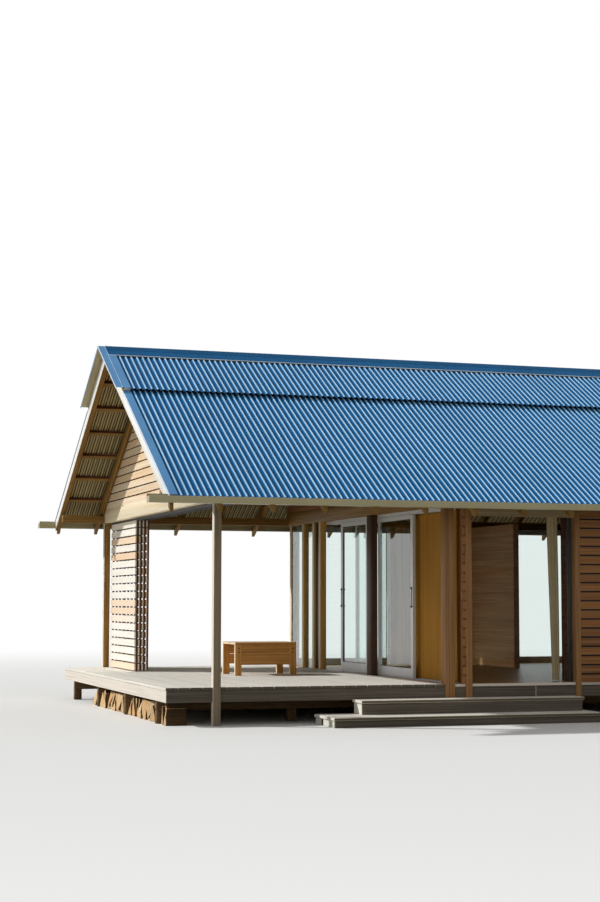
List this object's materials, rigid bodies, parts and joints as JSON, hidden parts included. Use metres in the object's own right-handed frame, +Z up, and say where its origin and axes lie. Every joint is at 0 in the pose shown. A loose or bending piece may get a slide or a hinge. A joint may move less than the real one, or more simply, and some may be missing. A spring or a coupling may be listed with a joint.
{
  "type": "beach house",
  "caption": "Timber beach house on piles: covered deck bay with sliding slatted screens, glazed sliding doors and a corrugated gable roof with a raised vented ridge.",
  "frame": {"origin": "on the ground, below the middle of the ridge", "axes": "+X along the ridge towards the closed end, +Y away from the front with the steps, +Z up"},
  "size_m": [11.14, 7.66, 4.8108],
  "materials": {
    "aluminium": "satin",
    "blue_roofing": "satin corrugated sheet",
    "cedar_boards": "oiled slats",
    "clear_glass": "clear",
    "curtain_cloth": "woven",
    "dark_aluminium": "powder coated",
    "dark_packing": "stained dark",
    "decking": "weathered boards",
    "firewood": "split",
    "khaki_gutter": "satin",
    "lining_board": "boards",
    "pine_framing": "sawn",
    "plywood": "clear coated plywood",
    "post_timber": "dressed",
    "table_timber": "oiled",
    "white_painted_board": "painted"
  },
  "bodies": {
    "house": {"piles": "pine_framing", "bearers": "pine_framing", "joists": "pine_framing", "edge_boards": "decking", "deck": "decking", "floor": "decking", "lower_step": "decking", "upper_step": "decking", "deck_posts": "post_timber", "front_posts": "post_timber", "far_posts": "post_timber", "glazed_wall_posts": "post_timber", "eave_beams": "pine_framing", "cross_beams": "pine_framing", "front_rafters": "pine_framing", "far_rafters": "pine_framing", "ridge_board": "pine_framing", "front_purlins": "pine_framing", "far_purlins": "pine_framing", "barge_boards": "white_painted_board", "front_lower_sheet": "blue_roofing", "front_upper_sheet": "blue_roofing", "far_lower_sheet": "blue_roofing", "far_upper_sheet": "blue_roofing", "vent_battens": "dark_packing", "ridge_cap": "blue_roofing", "barge_flashings": "blue_roofing", "front_gutter": "khaki_gutter", "far_gutter": "khaki_gutter", "left_gable_boards": "cedar_boards", "cross_gable_boards": "cedar_boards", "right_gable_boards": "cedar_boards", "wall_linings": "lining_board", "wall_slats": "cedar_boards", "inner_wall": "lining_board", "doorway_trim": "cedar_boards", "door_tracks": "lining_board", "screen_track": "dark_aluminium", "door_frame": "aluminium", "side_panel": "dark_aluminium", "fixed_panes": "clear_glass", "parked_leaves": "aluminium", "window_frames": "aluminium", "window_glass": "clear_glass", "curtain": "curtain_cloth", "table": "table_timber", "firewood": "firewood"},
    "screen_1": {"screen_1": "cedar_boards"},
    "screen_2": {"screen_2": "cedar_boards"},
    "screen_3": {"screen_3": "cedar_boards"},
    "screen_4": {"screen_4": "cedar_boards"},
    "far_leaf": {"far_leaf": "aluminium", "far_leaf_glass": "clear_glass"},
    "near_leaf": {"near_leaf": "aluminium", "near_leaf_glass": "clear_glass"},
    "solid_leaf": {"solid_leaf": "plywood"}
  },
  "joints": [
    {"name": "screen_1_slide", "type": "slide", "parent": "house", "child": "screen_1", "axis": [0, -1, 0], "range_m": [0, 4.5]},
    {"name": "screen_2_slide", "type": "slide", "parent": "house", "child": "screen_2", "axis": [0, -1, 0], "range_m": [0, 4.5]},
    {"name": "screen_3_slide", "type": "slide", "parent": "house", "child": "screen_3", "axis": [0, -1, 0], "range_m": [0, 4.5]},
    {"name": "screen_4_slide", "type": "slide", "parent": "house", "child": "screen_4", "axis": [0, -1, 0], "range_m": [0, 4.5]},
    {"name": "far_leaf_slide", "type": "slide", "parent": "house", "child": "far_leaf", "axis": [0, 1, 0], "range_m": [-0.3, 0.62]},
    {"name": "near_leaf_slide", "type": "slide", "parent": "house", "child": "near_leaf", "axis": [0, -1, 0], "range_m": [0, 1.19]},
    {"name": "solid_leaf_slide", "type": "slide", "parent": "house", "child": "solid_leaf", "axis": [0, 1, 0], "range_m": [0, 1]}
  ]
}
